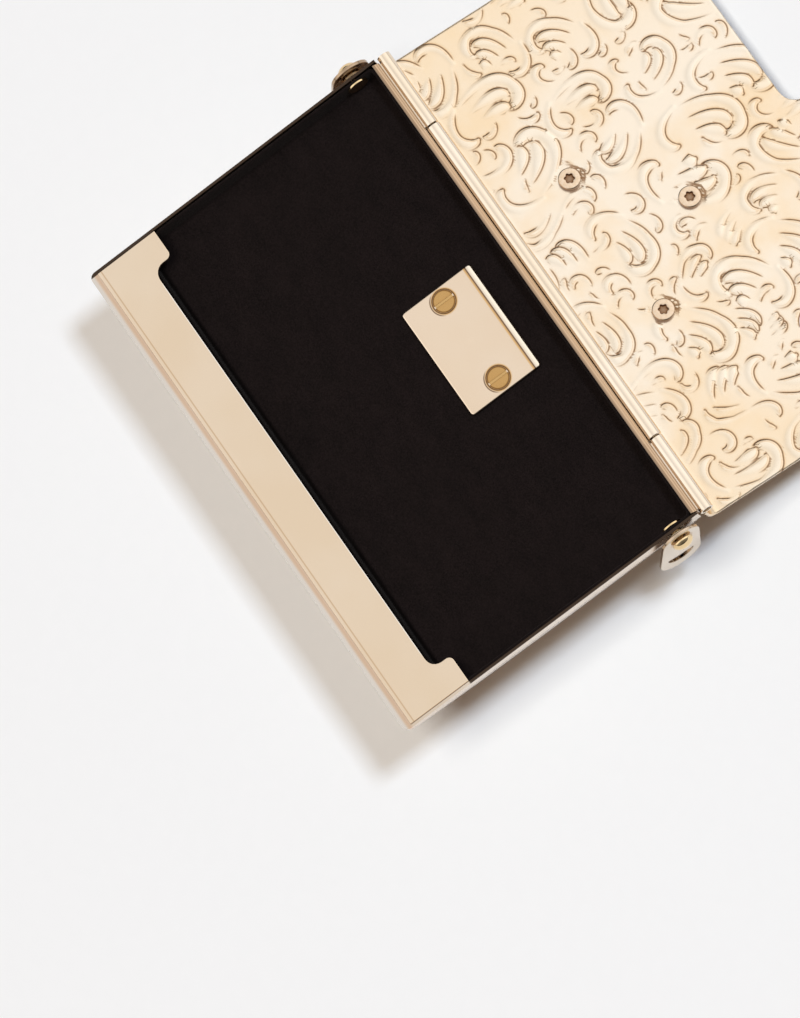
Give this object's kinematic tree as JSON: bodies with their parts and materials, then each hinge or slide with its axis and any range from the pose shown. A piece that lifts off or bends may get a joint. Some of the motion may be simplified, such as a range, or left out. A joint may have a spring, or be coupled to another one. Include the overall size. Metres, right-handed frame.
{
  "type": "mini bag",
  "caption": "Slim hard mini bag with a suede-lined tray, a flap lid on a long barrel hinge, chain lugs on its sides and a stone ornament on the lid.",
  "frame": {"origin": "middle of the flat part of the case's back", "axes": "+X along the hinge, +Y from the thin nose to the hinge, +Z from the back to the rim of the tray; the lid stands open"},
  "size_m": [0.1278, 0.1524, 0.0324],
  "materials": {
    "gold": "polished pale gold plate",
    "embossed_gold": "embossed, polished pale gold plate",
    "tan_brass": "brushed tan brass",
    "steel": "plated steel",
    "suede": "black suede",
    "board": "pressed board",
    "clear_stone": "faceted clear stone",
    "red_stone": "faceted red stone"
  },
  "bodies": {
    "case": {"case_shell": "gold", "front_lip_strip": "gold", "strip_block": "board", "case_core": "board", "suede_liner": "suede", "inner_plate": "gold", "plate_screw_left": "tan_brass", "plate_screw_right": "tan_brass", "hinge_leaf": "gold", "hinge_pin": "steel", "lug_rivet_left": "gold", "lug_rivet_right": "gold", "lug_washer_left": "steel", "lug_washer_right": "steel"},
    "lid": {"lid_shell": "embossed_gold", "lid_screw_left": "gold", "lid_screw_right": "gold", "lid_screw_far": "gold", "ornament_base": "gold", "centre_stone": "red_stone", "ring_stone_1": "clear_stone", "ring_stone_2": "clear_stone", "ring_stone_3": "clear_stone", "ring_stone_4": "clear_stone", "ring_stone_5": "clear_stone", "ring_stone_6": "clear_stone", "ring_stone_7": "clear_stone", "ring_stone_8": "clear_stone", "ring_stone_9": "clear_stone", "ring_stone_10": "clear_stone"},
    "chain_lug_left": {"lug_left": "gold"},
    "chain_lug_right": {"lug_right": "gold"}
  },
  "joints": [
    {"name": "lid_hinge", "type": "hinge", "parent": "case", "child": "lid", "pos_m": [0, 0.0214, 0.0085], "axis": [1, 0, 0], "range_deg": [0, 199.3]},
    {"name": "lug_swing_left", "type": "hinge", "parent": "case", "child": "chain_lug_left", "pos_m": [-0.06165, 0.0134, 0.0079], "axis": [1, 0, 0], "continuous": true},
    {"name": "lug_swing_right", "type": "hinge", "parent": "case", "child": "chain_lug_right", "pos_m": [0.06165, 0.0134, 0.0079], "axis": [1, 0, 0], "continuous": true}
  ]
}
